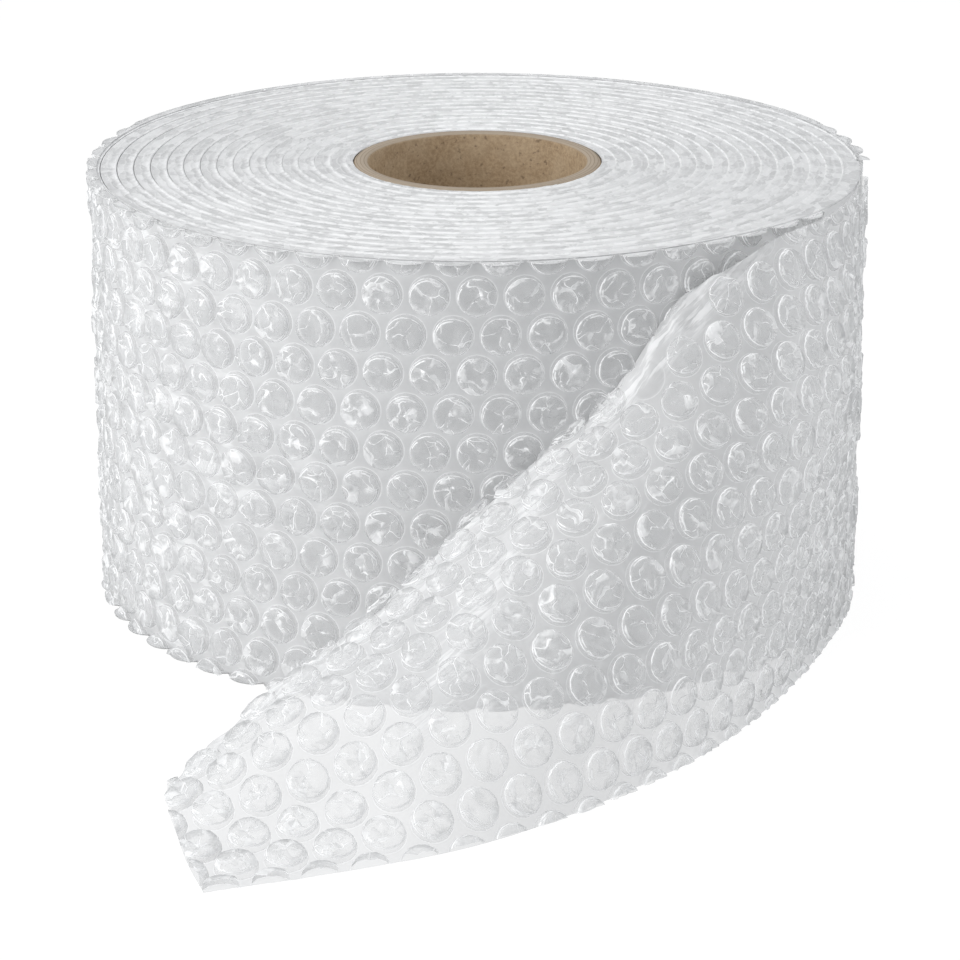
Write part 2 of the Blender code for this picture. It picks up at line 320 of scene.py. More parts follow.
def radius_at(s):
    """Radius of the half-way surface where s is on the roll."""
    return math.sqrt(ROLL_R**2 + PITCH * s / math.pi)


def wound_length(turns):
    """Length of web in the outermost turns."""
    angle = 2 * math.pi * turns
    return ROLL_R * angle - PITCH * angle * angle / (4 * math.pi)


LAST_TURN = -wound_length(1.0)


def raised(s):
    """How far the last turn rises to meet the free end, so that no dark slot is left there."""
    return (PITCH - 0.3) * (1 - float(smooth(LAST_TURN + 40, LAST_TURN + 130, s)))


def finish_piece(name, bm, material, bend=True, shade_smooth=True):
    """Bmesh to a finished object that rides on the roll, wound first if it is flat web."""
    if bend:
        # Winding mirrors the web, so its faces are turned round to point outwards after it.
        bmesh.ops.reverse_faces(bm, faces=bm.faces)
    mesh = bpy.data.meshes.new(name)
    bm.to_mesh(mesh)
    bm.free()
    if bend:
        flat = np.empty(len(mesh.vertices) * 3)
        mesh.vertices.foreach_get("co", flat)
        mesh.vertices.foreach_set("co", wind(flat.reshape(-1, 3)).ravel())
    if shade_smooth:
        mesh.polygons.foreach_set("use_smooth", [True] * len(mesh.polygons))
    mesh.materials.append(material)
    mesh.update()
    piece = bpy.data.objects.new(name, mesh)
    scene.collection.objects.link(piece)
    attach(piece, "root")
    mesh.calc_loop_triangles()
    print(name, len(mesh.loop_triangles), "triangles")
    return piece


# %% [markdown]
# ## Film and board
#
# Clear film over many more layers of clear film looks milky. One opaque layer with the colour
# of all that lies below carries the pattern of the bubbles underneath, and see-through bubbles
# stand on it. The film of the free end is see-through all over.

# %% Node helpers
# White of the painted highlights and of the painted light.
HIGHLIGHT_WHITE = (0.97, 0.972, 0.975)


def new_material(name, roughness, specular=0.5):
    """A material, its node tree and its Principled shader."""
    material = bpy.data.materials.new(name)
    material.use_nodes = True
    shader = material.node_tree.nodes["Principled BSDF"]
    shader.inputs["Roughness"].default_value = roughness
    shader.inputs["Specular IOR Level"].default_value = specular
    return material, material.node_tree, shader


def math_node(tree, operation, a, b=None, clamp=False):
    """A Math node fed by sockets or numbers."""
    node = tree.nodes.new("ShaderNodeMath")
    node.operation = operation
    node.use_clamp = clamp
    for socket, value in zip(node.inputs, (a, b)):
        if isinstance(value, (int, float)):
            socket.default_value = value
        elif value is not None:
            tree.links.new(value, socket)
    return node.outputs[0]


def times(tree, a, b):
    return math_node(tree, "MULTIPLY", a, b)


def plus(tree, a, b, clamp=False):
    return math_node(tree, "ADD", a, b, clamp)


def minus(tree, a, b):
    return math_node(tree, "SUBTRACT", a, b)


def off_from(tree, value, middle):
    """How far a value lies from a middle one."""
    return math_node(tree, "ABSOLUTE", minus(tree, value, middle))


def length_of(tree, x, y):
    return math_node(tree, "SQRT", plus(tree, times(tree, x, x), times(tree, y, y)))


def ramp(tree, value, a, b, out_a=0.0, out_b=1.0):
    """Maps a..b to out_a..out_b with soft ends."""
    node = tree.nodes.new("ShaderNodeMapRange")
    node.interpolation_type = "SMOOTHSTEP"
    for name, number in (("From Min", a), ("From Max", b), ("To Min", out_a), ("To Max", out_b)):
        node.inputs[name].default_value = number
    tree.links.new(value, node.inputs["Value"])
    return node.outputs["Result"]


def colour_mix(tree, fac, a, b):
    """Mixes two colours, each a socket or a triple, by a socket's value."""
    node = tree.nodes.new("ShaderNodeMix")
    node.data_type = "RGBA"
    tree.links.new(fac, node.inputs["Factor"])
    for socket, value in ((node.inputs[6], a), (node.inputs[7], b)):
        if isinstance(value, tuple):
            socket.default_value = (*value, 1)
        else:
            tree.links.new(value, socket)
    return node.outputs[2]


# %% Patterns and coordinates
def noise(tree, vector, scale, detail=2.0, roughness=0.5, output="Fac"):
    node = tree.nodes.new("ShaderNodeTexNoise")
    node.inputs["Scale"].default_value = scale
    node.inputs["Detail"].default_value = detail
    node.inputs["Roughness"].default_value = roughness
    tree.links.new(vector, node.inputs["Vector"])
    return node.outputs[output]


def cell_edges(tree, vector, scale):
    """Distance to the nearest edge between random cells."""
    node = tree.nodes.new("ShaderNodeTexVoronoi")
    node.feature = "DISTANCE_TO_EDGE"
    node.inputs["Scale"].default_value = scale
    tree.links.new(vector, node.inputs["Vector"])
    return node.outputs["Distance"]


def cell_tints(tree, vector, scale):
    """A random number for each of the random cells."""
    node = tree.nodes.new("ShaderNodeTexVoronoi")
    node.inputs["Scale"].default_value = scale
    tree.links.new(vector, node.inputs["Vector"])
    split = tree.nodes.new("ShaderNodeSeparateColor")
    tree.links.new(node.outputs["Color"], split.inputs[0])
    return split.outputs[0]


def separate(tree, vector):
    node = tree.nodes.new("ShaderNodeSeparateXYZ")
    tree.links.new(vector, node.inputs[0])
    return node.outputs


def mapped(tree, vector, location=(0, 0, 0), turn=0.0, scale=(1, 1, 1)):
    node = tree.nodes.new("ShaderNodeMapping")
    node.inputs["Location"].default_value = location
    node.inputs["Rotation"].default_value = (0, 0, turn)
    node.inputs["Scale"].default_value = scale
    tree.links.new(vector, node.inputs["Vector"])
    return node.outputs[0]


def attribute(tree, name):
    node = tree.nodes.new("ShaderNodeAttribute")
    node.attribute_name = name
    return node.outputs["Fac"]


def uv_map(tree, name):
    node = tree.nodes.new("ShaderNodeUVMap")
    node.uv_map = name
    return node.outputs[0]


def facing(tree, blend):
    """Nothing where the surface faces the eye, one where it is seen on edge."""
    node = tree.nodes.new("ShaderNodeLayerWeight")
    node.inputs["Blend"].default_value = blend
    return node.outputs["Facing"]


def add_dents(tree, shader, height, strength, distance):
    """Small dents in a shader's normal, with the distance in metres."""
    node = tree.nodes.new("ShaderNodeBump")
    node.inputs["Strength"].default_value = strength
    node.inputs["Distance"].default_value = distance
    tree.links.new(height, node.inputs["Height"])
    tree.links.new(node.outputs[0], shader.inputs["Normal"])


# %% Node groups
def new_group(name, outputs):
    """A group that turns a position into masks: its tree, the position and the way out."""
    tree = bpy.data.node_groups.new(name, "ShaderNodeTree")
    tree.interface.new_socket("Vector", in_out="INPUT", socket_type="NodeSocketVector")
    for label in outputs:
        tree.interface.new_socket(label, in_out="OUTPUT", socket_type="NodeSocketFloat")
    entry = tree.nodes.new("NodeGroupInput")
    return tree, entry.outputs["Vector"], tree.nodes.new("NodeGroupOutput")


def place_group(tree, group, vector):
    node = tree.nodes.new("ShaderNodeGroup")
    node.node_tree = group
    tree.links.new(vector, node.inputs[0])
    return node.outputs


# %% [markdown]
# The bubbles form a honeycomb pattern. This group takes the flat position on the web, in
# bubbles, and gives the distance to the nearest bubble's middle.

# %% Honeycomb distance
def honeycomb():
    """The nearer of two grids of points, the second half a step along and half a step up."""
    tree, here, leave = new_group("honeycomb", ["Distance"])
    x, y = separate(tree, here)[:2]
    tall = math.sqrt(3)
    found = []
    for shift in (0.0, 0.5):
        dx = math_node(tree, "FRACT", plus(tree, x, 0.5 + shift))
        dx = minus(tree, dx, 0.5)
        dy = math_node(tree, "FRACT", plus(tree, math_node(tree, "DIVIDE", y, tall), 0.5 + shift))
        dy = times(tree, minus(tree, dy, 0.5), tall)
        found.append(length_of(tree, dx, dy))
    tree.links.new(math_node(tree, "MINIMUM", *found), leave.inputs["Distance"])
    return tree


HONEYCOMB = honeycomb()


def web_coordinates(tree, offset=(0, 0, 0), turn=0.0):
    """Flat position on the web, in bubbles, moved by an offset."""
    return mapped(tree, uv_map(tree, "web"), offset, turn)


def distance_to_bubble(tree, vector):
    return place_group(tree, HONEYCOMB, vector)["Distance"]


def foot_highlight_line(tree, own):
    """A thin painted highlight round the foot of each bubble."""
    return ramp(tree, off_from(tree, own, BUBBLE_R / BUBBLE), 0.024, 0.0)


# %% Milky layer under the outer turn
def milky_film():
    material, tree, shader = new_material("milky wound film", 0.32)
    here = web_coordinates(tree)
    own = distance_to_bubble(tree, here)
    deep = distance_to_bubble(tree, web_coordinates(tree, (0.31, 0.42, 0), 0.03))
    inside = ramp(tree, own, 0.42, 0.34)
    below = ramp(tree, deep, 0.5, 0.3)
    cloud = noise(tree, here, 1.3, 4, 0.6)
    slack = attribute(tree, "slump")
    kept = ramp(tree, slack, 0, 1, 1.0, 0.45)
    wrinkle = noise(tree, mapped(tree, here, scale=(0.8, 2.6, 1.0)), 1.0, 3, 0.6)
    pale = times(tree, slack, ramp(tree, wrinkle, 0.52, 0.62))
    dull = times(tree, slack, ramp(tree, wrinkle, 0.45, 0.35, 0.0, 0.6))
    # Painted highlight: a bright ring round the foot of each bubble, fainter where the bubbles are
    # pressed out of shape.
    foot_ring_highlight = times(tree, times(tree, foot_highlight_line(tree, own), kept), 0.45)
    web, floor = (0.67, 0.672, 0.675), (0.56, 0.562, 0.565)
    colour = colour_mix(tree, times(tree, inside, kept), web, floor)
    colour = colour_mix(tree, pale, colour, (0.86, 0.862, 0.865))
    colour = colour_mix(tree, dull, colour, (0.50, 0.502, 0.505))
    colour = colour_mix(tree, times(tree, below, 0.2), colour, (0.42, 0.425, 0.43))
    colour = colour_mix(tree, ramp(tree, cloud, 0.42, 0.75, 0.0, 0.4), colour, (0.72, 0.725, 0.73))
    # Painted light: the start of the outer turn, which lies in shade under the end face and the free
    # end, is lifted towards white.
    colour = colour_mix(tree, times(tree, attribute(tree, "painted_light"), 0.75), colour, HIGHLIGHT_WHITE)
    colour = colour_mix(tree, foot_ring_highlight, colour, HIGHLIGHT_WHITE)
    tree.links.new(colour, shader.inputs["Base Color"])
    add_dents(tree, shader, noise(tree, here, 2.4, 5, 0.65), 0.5, 0.0006)
    return material


MILKY = milky_film()


# %% [markdown]
# A bubble's skin is thin and slack. It is almost clear where it faces the eye, less so where it
# is seen on edge, and its wrinkles carry painted highlights: two thin rings at its foot and
# shoulder, crescents along the shoulder, folds that meet in stars on its top, and glints on some facets.

# %% Wrinkles of one bubble and their painted highlights
def wrinkles_and_highlights():
    """Masks of the wrinkles and of their painted highlights from the position on a bubble, one unit
    across its radius.
    """
    tree, here, leave = new_group("bubble wrinkles and highlights", ["Lines", "Sheen", "Dark", "Wall", "Height"])
    x, y = separate(tree, here)[:2]
    x = minus(tree, math_node(tree, "MODULO", x, 4.0), 2.0)
    y = minus(tree, math_node(tree, "MODULO", y, 4.0), 2.0)
    radius = length_of(tree, x, y)
    top = ramp(tree, radius, 0.99, 0.94)
    drift = times(tree, minus(tree, noise(tree, here, 1.3, 2), 0.5), 0.12)
    warped = plus(tree, radius, drift)
    # Painted highlights: thin bright rings at the foot and the shoulder, and crescents along the
    # shoulder.
    foot = times(tree, ramp(tree, off_from(tree, radius, 1.3), 0.07, 0.0), 0.2)
    rim_highlight = times(tree, ramp(tree, off_from(tree, warped, 0.98), 0.05, 0.0),
                ramp(tree, noise(tree, here, 1.9, 1), 0.34, 0.52, 0.5, 1.0))
    crescent_highlight = times(tree, ramp(tree, off_from(tree, warped, 0.89), 0.06, 0.0),
                     ramp(tree, noise(tree, here, 1.1, 1), 0.50, 0.60))

    # The facets meet in creases that are bent by a slow noise.
    bend = tree.nodes.new("ShaderNodeVectorMath")
    bend.operation = "MULTIPLY_ADD"
    bend.inputs[1].default_value = (1.5, 1.5, 0.0)
    tree.links.new(noise(tree, here, 0.9, 1, output="Color"), bend.inputs[0])
    tree.links.new(here, bend.inputs[2])
    bent = bend.outputs[0]
    creases = cell_edges(tree, bent, 0.85)
    tint = cell_tints(tree, bent, 0.85)
    # Painted highlights along the creases.
    crease_highlight = times(tree, ramp(tree, creases, 0.045, 0.0),
                   ramp(tree, noise(tree, here, 1.7, 2), 0.40, 0.56))
    # Painted glints: a bright stroke along one side of some facet edges, and a few whole facets lit
    # white.
    edge_glint = times(tree, ramp(tree, tint, 0.55, 0.58), ramp(tree, creases, 0.2, 0.1))
    flash = math_node(tree, "MAXIMUM", edge_glint, ramp(tree, tint, 0.92, 0.94))
    flash = times(tree, flash, ramp(tree, noise(tree, here, 1.3, 1), 0.44, 0.6))
    flash = times(tree, times(tree, flash, top), 0.7)
    # All the bright lines below are painted highlights.
    highlight_lines = foot
    for mark in (rim_highlight, crescent_highlight, times(tree, crease_highlight, top), flash):
        highlight_lines = math_node(tree, "MAXIMUM", highlight_lines, mark)

    dark = times(tree, ramp(tree, noise(tree, bent, 1.4, 2), 0.5, 0.68), top)
    # Painted sheen: the skin grows a little denser near the creases, in soft patches.
    sheen = times(tree, ramp(tree, creases, 0.32, 0.0),
                  ramp(tree, noise(tree, here, 0.9, 2), 0.45, 0.62))
    tree.links.new(highlight_lines, leave.inputs["Lines"])
    tree.links.new(sheen, leave.inputs["Sheen"])
    tree.links.new(times(tree, dark, 0.2), leave.inputs["Dark"])
    tree.links.new(ramp(tree, radius, 1.03, 1.1), leave.inputs["Wall"])
    tree.links.new(creases, leave.inputs["Height"])
    return tree


WRINKLES_AND_HIGHLIGHTS = wrinkles_and_highlights()


# %% Bubble skin
def bubble_skin():
    material, tree, shader = new_material("bubble skin", 0.16)
    marks = place_group(tree, WRINKLES_AND_HIGHLIGHTS, uv_map(tree, "bubble"))
    grazing = facing(tree, 0.35)
    thick = attribute(tree, "dense")
    bare = times(tree, marks["Wall"], ramp(tree, thick, 0, 0.5, 0.65, 0.0))
    on_edge = times(tree, ramp(tree, grazing, 0.1, 1.0), minus(tree, 1.0, bare))
    # The painted highlight lines and glints make the skin nearly opaque, and the painted sheen a little
    # denser.
    alpha = plus(tree, times(tree, marks["Lines"], 0.78), times(tree, on_edge, 0.8))
    alpha = plus(tree, alpha, times(tree, marks["Sheen"], 0.16))
    alpha = plus(tree, alpha, marks["Dark"])
    alpha = plus(tree, alpha, times(tree, thick, 0.45))
    alpha = plus(tree, alpha, 0.12, clamp=True)
    tree.links.new(alpha, shader.inputs["Alpha"])
    front, side = (0.74, 0.745, 0.75), (0.60, 0.605, 0.61)
    colour = colour_mix(tree, times(tree, grazing, 0.6), front, side)
    colour = colour_mix(tree, marks["Dark"], colour, (0.34, 0.342, 0.345))
    colour = colour_mix(tree, marks["Wall"], colour, (0.66, 0.662, 0.665))
    # Painted highlights: near-white along the wrinkle lines and glints.
    colour = colour_mix(tree, marks["Lines"], colour, HIGHLIGHT_WHITE)
    tree.links.new(colour, shader.inputs["Base Color"])
    add_dents(tree, shader, marks["Height"], 0.7, 0.0012)
    return material


SKIN = bubble_skin()


# %% Clear film of the free end
def clear_film():
    material, tree, shader = new_material("clear backing film", 0.28, 0.35)
    here = web_coordinates(tree)
    own = distance_to_bubble(tree, here)
    inside = ramp(tree, own, 0.43, 0.36)
    grazing = facing(tree, 0.3)
    fold_and_gleam = attribute(tree, "fold_and_gleam")
    slack = attribute(tree, "slump")
    along_fold = mapped(tree, web_coordinates(tree, turn=0.356), scale=(0.9, 6.0, 1.0))
    # Painted highlights: bright streaks along the crushed fold and along the ridge.
    streak_highlight = times(tree, ramp(tree, noise(tree, along_fold, 1.0, 3, 0.6), 0.47, 0.6), fold_and_gleam)
    # Painted highlight: a bright ring round the foot of each bubble, faint where the bubbles are pressed
    # out of shape and gone on the fold.
    foot_ring_highlight = times(tree, foot_highlight_line(tree, own), ramp(tree, slack, 0, 1, 0.35, 0.1))
    foot_ring_highlight = times(tree, foot_ring_highlight, ramp(tree, fold_and_gleam, 0.05, 0.4, 1.0, 0.0))
    alpha = minus(tree, 0.64, times(tree, inside, 0.1))
    alpha = plus(tree, alpha, times(tree, grazing, 0.4))
    alpha = plus(tree, alpha, times(tree, streak_highlight, 0.45))
    alpha = plus(tree, alpha, times(tree, foot_ring_highlight, 0.3))
    alpha = plus(tree, alpha, times(tree, fold_and_gleam, 0.35), clamp=True)
    shadow = tree.nodes.new("ShaderNodeLightPath").outputs["Is Shadow Ray"]
    alpha = times(tree, alpha, ramp(tree, shadow, 0, 1, 1.0, 0.1))
    tree.links.new(alpha, shader.inputs["Alpha"])
    front, side = (0.76, 0.762, 0.765), (0.55, 0.552, 0.555)
    colour = colour_mix(tree, ramp(tree, grazing, 0.45, 1.0, 0.0, 0.8), front, side)
    colour = colour_mix(tree, math_node(tree, "MAXIMUM", streak_highlight, foot_ring_highlight), colour, HIGHLIGHT_WHITE)
    tree.links.new(colour, shader.inputs["Base Color"])
    add_dents(tree, shader, noise(tree, here, 1.8, 4, 0.6), 0.4, 0.0007)
    return material


CLEAR = clear_film()


# %% Film edges on the ends of the roll
def edge_film():
    material, tree, shader = new_material("film edges", 0.3, 0.4)
    here = web_coordinates(tree)
    # Painted highlights: the film edges of the ribs and the joints between cells are near-white.
    joint_highlight = times(tree, ramp(tree, cell_edges(tree, here, 1.9), 0.05, 0.0),
                  ramp(tree, noise(tree, here, 3.0, 2), 0.45, 0.6))
    cloud = noise(tree, here, 1.4, 4, 0.65)
    line = times(tree, attribute(tree, "rib_highlight"),
                 ramp(tree, noise(tree, here, 3.5, 2), 0.35, 0.6, 0.25, 1.0))
    line = math_node(tree, "MAXIMUM", line, times(tree, joint_highlight, 0.6))
    # Random tone mixed with painted glints: some cells of the end face come out brighter.
    tone_and_glints = plus(tree, times(tree, cloud, 0.5), times(tree, cell_tints(tree, here, 1.5), 0.5))
    low_tone, high_tone = (0.59, 0.592, 0.595), (0.82, 0.822, 0.825)
    colour = colour_mix(tree, ramp(tree, tone_and_glints, 0.2, 0.8), low_tone, high_tone)
    colour = colour_mix(tree, line, colour, HIGHLIGHT_WHITE)
    tree.links.new(colour, shader.inputs["Base Color"])
    add_dents(tree, shader, cloud, 0.5, 0.0006)
    return material


EDGES = edge_film()


# %% Kraft board
def kraft_board():
    """Fibres, blotches and specks, a seam that climbs inside, and plies on the cut ends."""
    material, tree, shader = new_material("kraft board", 0.85)
    here = tree.nodes.new("ShaderNodeTexCoord").outputs["Object"]
    x, y, z = separate(tree, mapped(tree, here, -AXIS))
    radius = length_of(tree, x, y)
    turn = math_node(tree, "DIVIDE", math_node(tree, "ARCTAN2", y, x), 2 * math.pi)
    fibre = noise(tree, here, 900, 4, 0.7)
    blotch = noise(tree, here, 90, 3, 0.6)
    speck = ramp(tree, noise(tree, here, 520, 2, 0.5), 0.62, 0.70)
    dark_fibre, light_fibre = (0.31, 0.215, 0.125), (0.47, 0.345, 0.215)
    colour = colour_mix(tree, ramp(tree, fibre, 0.3, 0.7), dark_fibre, light_fibre)
    colour = colour_mix(tree, ramp(tree, blotch, 0.35, 0.7, 0.0, 0.35), colour, (0.56, 0.44, 0.30))
    colour = colour_mix(tree, times(tree, speck, 0.6), colour, (0.15, 0.10, 0.06))
    seam_climb, ply_wall = 0.2, 0.0013
    climb = math_node(tree, "FRACT", plus(tree, math_node(tree, "DIVIDE", z, seam_climb), turn))
    seam = ramp(tree, off_from(tree, climb, 0.5), 0.005, 0.0)
    colour = colour_mix(tree, times(tree, seam, 0.3), colour, (0.12, 0.08, 0.05))
    ply = math_node(tree, "FRACT", math_node(tree, "DIVIDE", radius, ply_wall))
    plies = ramp(tree, off_from(tree, ply, 0.5), 0.16, 0.0)
    half = HEIGHT * 0.0005
    on_end = ramp(tree, off_from(tree, z, half), half - 0.0007, half - 0.0002)
    cut = colour_mix(tree, times(tree, plies, 0.8), (0.40, 0.335, 0.265), (0.16, 0.12, 0.085))
    colour = colour_mix(tree, times(tree, on_end, 0.85), colour, cut)
    tree.links.new(colour, shader.inputs["Base Color"])
    add_dents(tree, shader, fibre, 0.4, 0.0003)
    return material


BOARD = kraft_board()

# %% [markdown]
# ## The core
#
# A paper tube is wound from strips of board, so its wall shows a spiral seam inside and thin
# plies on its ends. It is turned here from its section with a spin.

# %% A tube from its section
def tube(corners, steps):
    """A closed tube on the roll's axis from the radius and height of its section's corners."""
    bm = bmesh.new()
    section = [bm.verts.new((r * 0.001, 0, z * 0.001)) for r, z in corners]
    for a, b in zip(section, section[1:] + section[:1]):
        bm.edges.new((a, b))
    bmesh.ops.spin(bm, geom=bm.verts[:] + bm.edges[:], cent=(0, 0, 0), axis=(0, 0, 1),
                   dvec=(0, 0, 0), angle=2 * math.pi, steps=steps, use_merge=True)
    bmesh.ops.recalc_face_normals(bm, faces=bm.faces)
    bmesh.ops.translate(bm, verts=bm.verts, vec=AXIS)
    return bm


# %% Core
CHAMFER = 0.8
bm = tube([(BORE_R, CHAMFER), (BORE_R + CHAMFER, 0), (CORE_R - CHAMFER, 0), (CORE_R, CHAMFER),
           (CORE_R, HEIGHT - CHAMFER), (CORE_R - CHAMFER, HEIGHT), (BORE_R + CHAMFER, HEIGHT),
           (BORE_R, HEIGHT - CHAMFER)], steps=160)
core = finish_piece("board_core", bm, BOARD, bend=False)
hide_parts("cardboard_core")

# %% [markdown]
# ## The wound turns
#
# The drum is the opaque milky mass of the turns below the outermost one. It is a thick tube,
# also made with a spin, a little lower than the web so that the film edges stand out of it.

# %% Drum of wound film
DRUM_INSET = 5.5
DRUM_IN, DRUM_OUT = CORE_R + 0.3, ROLL_R - PITCH * 1.5
bm = tube([(DRUM_IN, DRUM_INSET), (DRUM_IN, HEIGHT - DRUM_INSET),
           (DRUM_OUT, HEIGHT - DRUM_INSET), (DRUM_OUT, DRUM_INSET)], steps=128)
drum = finish_piece("wound_mass", bm, MILKY, bend=False, shade_smooth=False)


# %% Flat strip of web
def strip(s0, s1, w0, w1, step_s, step_w, h=0.0):
    """A flat grid of web from s0 to s1 and w0 to w1, h off the half-way surface."""
    bm = bmesh.new()
    columns = max(int(round((s1 - s0) / step_s)), 1)
    rows = max(int(round((w1 - w0) / step_w)), 1)
    bmesh.ops.create_grid(bm, x_segments=columns, y_segments=rows, size=0.5)
    bmesh.ops.scale(bm, verts=bm.verts, vec=(s1 - s0, w1 - w0, 1))
    bmesh.ops.translate(bm, verts=bm.verts, vec=((s0 + s1) / 2, (w0 + w1) / 2, h))
    return bm


def add_web_uv(bm):
    """Gives each corner its flat position, counted in bubbles."""
    layer = bm.loops.layers.uv.new("web")
    for face in bm.faces:
        for loop in face.loops:
            s, w = loop.vert.co.x, loop.vert.co.y
            loop[layer].uv = ((s - FIRST_BUBBLE) / BUBBLE, (w - FIRST_ROW) / BUBBLE)


# %% Outer turn
bm = strip(LAST_TURN, 0, 0, HEIGHT, 4, 8, BACK)
add_web_uv(bm)
slumped = bm.verts.layers.float.new("slump")
painted_light = bm.verts.layers.float.new("painted_light")
share = slump([v.co.x for v in bm.verts], [v.co.y for v in bm.verts])
for v, pressed in zip(bm.verts, share):
    past = v.co.x - LAST_TURN
    v[slumped] = pressed
    # Painted light at the start of the outer turn, which lies in shade under the end face and the free
    # end.
    v[painted_light] = float(smooth(15, 50, past)) * (1 - float(smooth(60, 170, past)))
    v.co.z += raised(v.co.x)
outer = finish_piece("outer_turn_film", bm, MILKY)


# %% Free end
def crinkle(s, w):
    """Small folds along the crushed edge, which run down towards the end of the web."""
    along, over = s * 0.937 - w * 0.349, s * 0.349 + w * 0.937
    long_folds = mnoise.noise(Vector((along * 0.09, over * 0.45, 3.0)))
    short_folds = mnoise.noise(Vector((along * 0.25, over * 0.9, 9.0)))
    lump = mnoise.noise(Vector((along * 0.16, over * 0.22, 6.0)))
    return long_folds + 0.6 * short_folds, lump


def splay(s, w):
    """How far the lower edge spreads outwards where the film stands on the table."""
    lying = float(smooth(0.5 * TAIL, 0.68 * TAIL, s))
    return 2.9 * (1 - float(smooth(0, 5, w))) * (1 - lying)


bm = strip(0, TAIL, 0, 1, 2.2, 1 / 44, BACK)
fold_and_gleam = bm.verts.layers.float.new("fold_and_gleam")
slumped = bm.verts.layers.float.new("slump")
for v in bm.verts:
    s = v.co.x
    v.co.y = float(top_of_web(s)) * (1 - (1 - v.co.y) ** 1.6)
add_web_uv(bm)
share = slump([v.co.x for v in bm.verts], [v.co.y for v in bm.verts])
for v, pressed in zip(bm.verts, share):
    s, w = v.co.x, v.co.y
    v[fold_and_gleam] = float(crushed(s, w))
    v[slumped] = pressed
    off, fade = ridge_place(s, w)
    # Painted highlight: a bright band along the ridge, kept in the fold attribute with the crushed fold.
    gleam = 0.7 * float(fade * np.exp(-(off / 5.0) ** 2))
    folds, lump = crinkle(s, w)
    v.co.z += folds * (0.2 + 1.5 * v[fold_and_gleam]) + lump * 2.2 * v[fold_and_gleam] + splay(s, w)
    v[fold_and_gleam] = max(v[fold_and_gleam], gleam)
free_end = finish_piece("free_end_film", bm, CLEAR)


# %% [markdown]
# ## Bubbles
#
# Each bubble is a low round cushion: a steep wall, a rounded shoulder and a slack top that has
# buckled into a few flat facets. A handful of them are made once, with different dents, and set
# out on the flat web in honeycomb rows before the web is wound. The web is slit across its
# bubbles, so the rows at its edges are cut straight.

# %% Bubble shapes
# Random draws and noise vectors are both seeded, so that every run gives the same bubbles.
RANDOM = random.Random(11)
mnoise.seed_set(11)
SIDES = 14

# Wall, shoulder and slack top: how far each goes in and up.
STEPS = ((0.2, 2.1), (0.75, 1.45), (2.5, 0.1))


def make_bubble(seed):
    """One bubble standing on the web, centred on zero, in millimetres."""
    pick = random.Random(seed)
    bm = bmesh.new()
    bmesh.ops.create_circle(bm, cap_ends=True, segments=SIDES, radius=BUBBLE_R)
    face = bm.faces[:]
    bmesh.ops.translate(bm, verts=bm.verts, vec=(0, 0, BACK + 0.1))
    foot = set(bm.verts)
    for inwards, rise in STEPS:
        bmesh.ops.inset_region(bm, faces=face, thickness=inwards, depth=0, use_boundary=True,
                               use_even_offset=True)
        bmesh.ops.translate(bm, verts=face[0].verts, vec=(0, 0, rise))
    centre = bmesh.ops.poke(bm, faces=face)["verts"][0]
    ring = [e.other_vert(centre) for e in centre.link_edges]
    lobes = pick.choice((2, 3, 3, 4, 5))
    phase = pick.uniform(0, 6.3)
    lean = Vector((pick.uniform(-0.7, 0.7), pick.uniform(-0.7, 0.7), 0))
    for v in ring:
        angle = math.atan2(v.co.y, v.co.x)
        v.co.z += -0.55 + 0.75 * math.sin(lobes * angle + phase) + pick.uniform(-0.3, 0.3)
        v.co += lean
    dent = (pick.uniform(-0.8, 0.8), pick.uniform(-0.8, 0.8), pick.uniform(-1.7, 0.2))
    centre.co += lean + Vector(dent)
    for v in bm.verts:
        v.co.z = min(v.co.z, TIP)
        v.co.x += 0.12 * math.sin(2 * v.co.y + phase)
    top = set(ring) | {centre}
    for f in bm.faces:
        f.smooth = not all(v in top for v in f.verts)
    layer = bm.loops.layers.uv.new("bubble")
    for f in bm.faces:
        for loop in f.loops:
            spread = 1.3 if loop.vert in foot else 1.04
            x, y = loop.vert.co.xy
            loop[layer].uv = (spread * x / BUBBLE_R + 2, spread * y / BUBBLE_R + 2)
    mesh = bpy.data.meshes.new("bubble %d" % seed)
    bm.to_mesh(mesh)
    bm.free()
    return mesh


BUBBLES = [make_bubble(seed) for seed in range(16)]
print("one bubble has", len(BUBBLES[0].polygons), "faces")


# %% Set bubbles out on the flat web
def bubble_places(s0, s1):
    """Middles of the bubbles between s0 and s1, row by row."""
    for k in range(-1, 12):
        first = FIRST_BUBBLE + BUBBLE * (k % 2) / 2
        for j in range(math.ceil((s0 - first) / BUBBLE), math.floor((s1 - first) / BUBBLE) + 1):
            yield first + BUBBLE * j, FIRST_ROW + ROW * k


def folded_away(s, w):
    """Whether a bubble of the free end has gone over the fold or is cut off with it."""
    top = float(top_of_web(s))
    reach = -5 if s < 0.52 * TAIL else 8
    return top < HEIGHT - 1 and w > min(top - 4, float(shown_width(s)) + reach)


